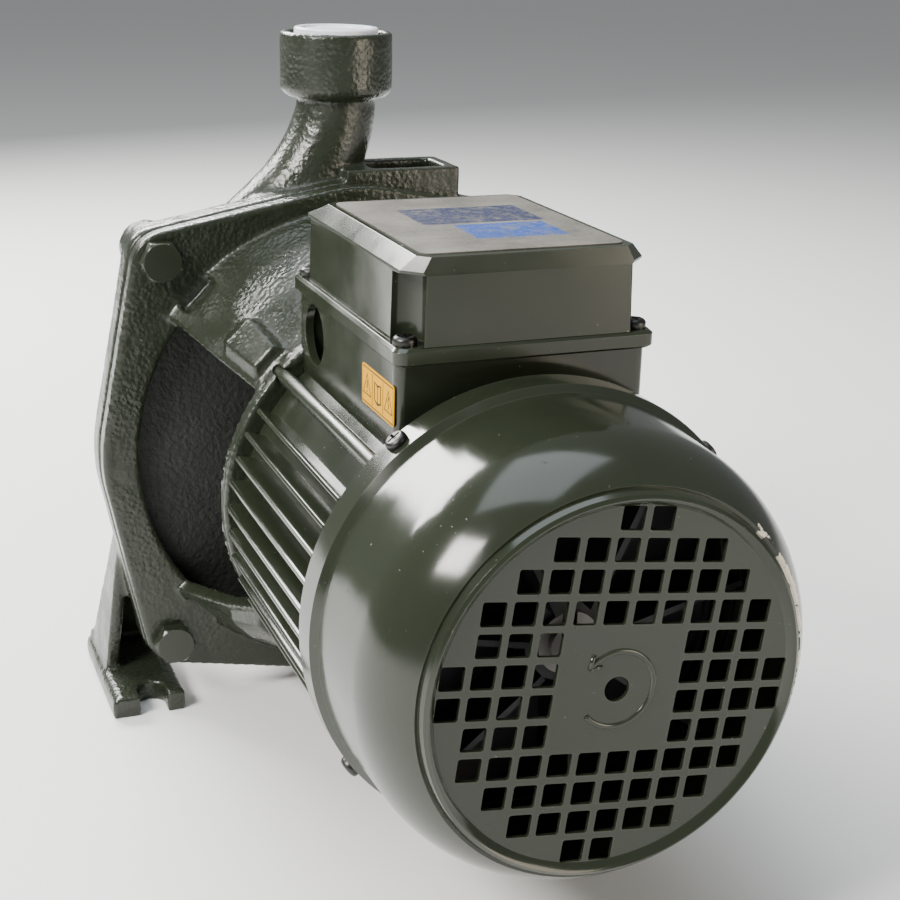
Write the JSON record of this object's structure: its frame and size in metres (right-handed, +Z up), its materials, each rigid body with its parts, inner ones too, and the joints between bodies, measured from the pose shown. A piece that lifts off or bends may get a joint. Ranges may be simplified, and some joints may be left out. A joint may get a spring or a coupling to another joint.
{
  "type": "centrifugal water pump",
  "caption": "Close-coupled centrifugal water pump: cast body on two feet, swan-neck outlet, open lantern bracket, finned motor with fan cover and terminal box.",
  "frame": {"origin": "centre of the base: floor plane under the middle of the overall box", "axes": "+Y along the shaft from suction port to fan, +X to the terminal box's cable entry, +Z up"},
  "size_m": [0.19, 0.282, 0.2415],
  "materials": {
    "cast_paint": "gloss paint over rough casting",
    "sheet_paint": "smooth gloss paint",
    "barrel_paint": "smooth gloss paint",
    "fastener_paint": "gloss paint over steel",
    "inner_cast": "as cast",
    "transit_plastic": "gloss",
    "fan_plastic": "satin",
    "dark_screw": "black oxide",
    "bright_steel": "ground",
    "zinc_steel": "zinc plated",
    "laminations": "stacked sheet",
    "cage_aluminium": "cast",
    "brass": "machined",
    "copper": "varnished wire",
    "rubber": "matt",
    "ceramic": "lapped",
    "carbon": "lapped",
    "board_plastic": "moulded",
    "capacitor_plastic": "moulded",
    "plate_silver": "printed foil",
    "sticker_yellow": "printed film"
  },
  "bodies": {
    "pump": {"pump_body": "cast_paint", "motor_bracket": "cast_paint", "casing_cover": "inner_cast", "rear_shield": "barrel_paint", "body_gasket": "rubber", "priming_plug": "brass", "drain_plug": "brass", "seal_seat": "ceramic", "flange_bolts": "fastener_paint", "front_bearing_outer_ring": "bright_steel", "rear_bearing_outer_ring": "bright_steel", "stator_core": "laminations", "stator_windings": "copper", "motor_housing": "barrel_paint", "tie_rods": "fastener_paint", "tie_rod_nuts": "zinc_steel", "wave_washer": "bright_steel", "fan_cover": "sheet_paint", "fan_cover_screws": "dark_screw", "terminal_box": "sheet_paint", "box_gasket": "rubber", "terminal_lid": "sheet_paint", "lid_screws": "dark_screw", "terminal_block": "board_plastic", "terminal_studs": "brass", "capacitor": "capacitor_plastic", "capacitor_clip": "zinc_steel", "earth_screw": "brass", "rating_label": "plate_silver", "warning_label": "sticker_yellow"},
    "rotor": {"shaft": "bright_steel", "impeller": "brass", "impeller_nut": "zinc_steel", "impeller_key": "bright_steel", "seal_rotor": "carbon", "seal_spring": "bright_steel", "water_slinger": "rubber", "rotor_core": "laminations", "rotor_end_rings": "cage_aluminium", "front_bearing_inner_ring": "bright_steel", "rear_bearing_inner_ring": "bright_steel", "fan": "fan_plastic", "fan_clip": "bright_steel"},
    "front_ball_set": {"front_bearing_balls": "bright_steel", "front_bearing_cage": "zinc_steel"},
    "rear_ball_set": {"rear_bearing_balls": "bright_steel", "rear_bearing_cage": "zinc_steel"},
    "outlet_plug": {"outlet_plug": "transit_plastic"}
  },
  "joints": [
    {"name": "rotor_spin", "type": "hinge", "parent": "pump", "child": "rotor", "pos_m": [0, 0, 0.096], "axis": [0, 1, 0], "continuous": true},
    {"name": "front_balls_spin", "type": "hinge", "parent": "pump", "child": "front_ball_set", "pos_m": [0, 0, 0.096], "axis": [0, 1, 0], "continuous": true},
    {"name": "rear_balls_spin", "type": "hinge", "parent": "pump", "child": "rear_ball_set", "pos_m": [0, 0, 0.096], "axis": [0, 1, 0], "continuous": true},
    {"name": "outlet_plug_lift", "type": "slide", "parent": "pump", "child": "outlet_plug", "axis": [0, 0, 1], "range_m": [0, 0.06]}
  ],
  "couplings": [
    {"joint": "front_balls_spin", "follows": "rotor_spin", "ratio": 0.3818},
    {"joint": "rear_balls_spin", "follows": "rotor_spin", "ratio": 0.365}
  ]
}
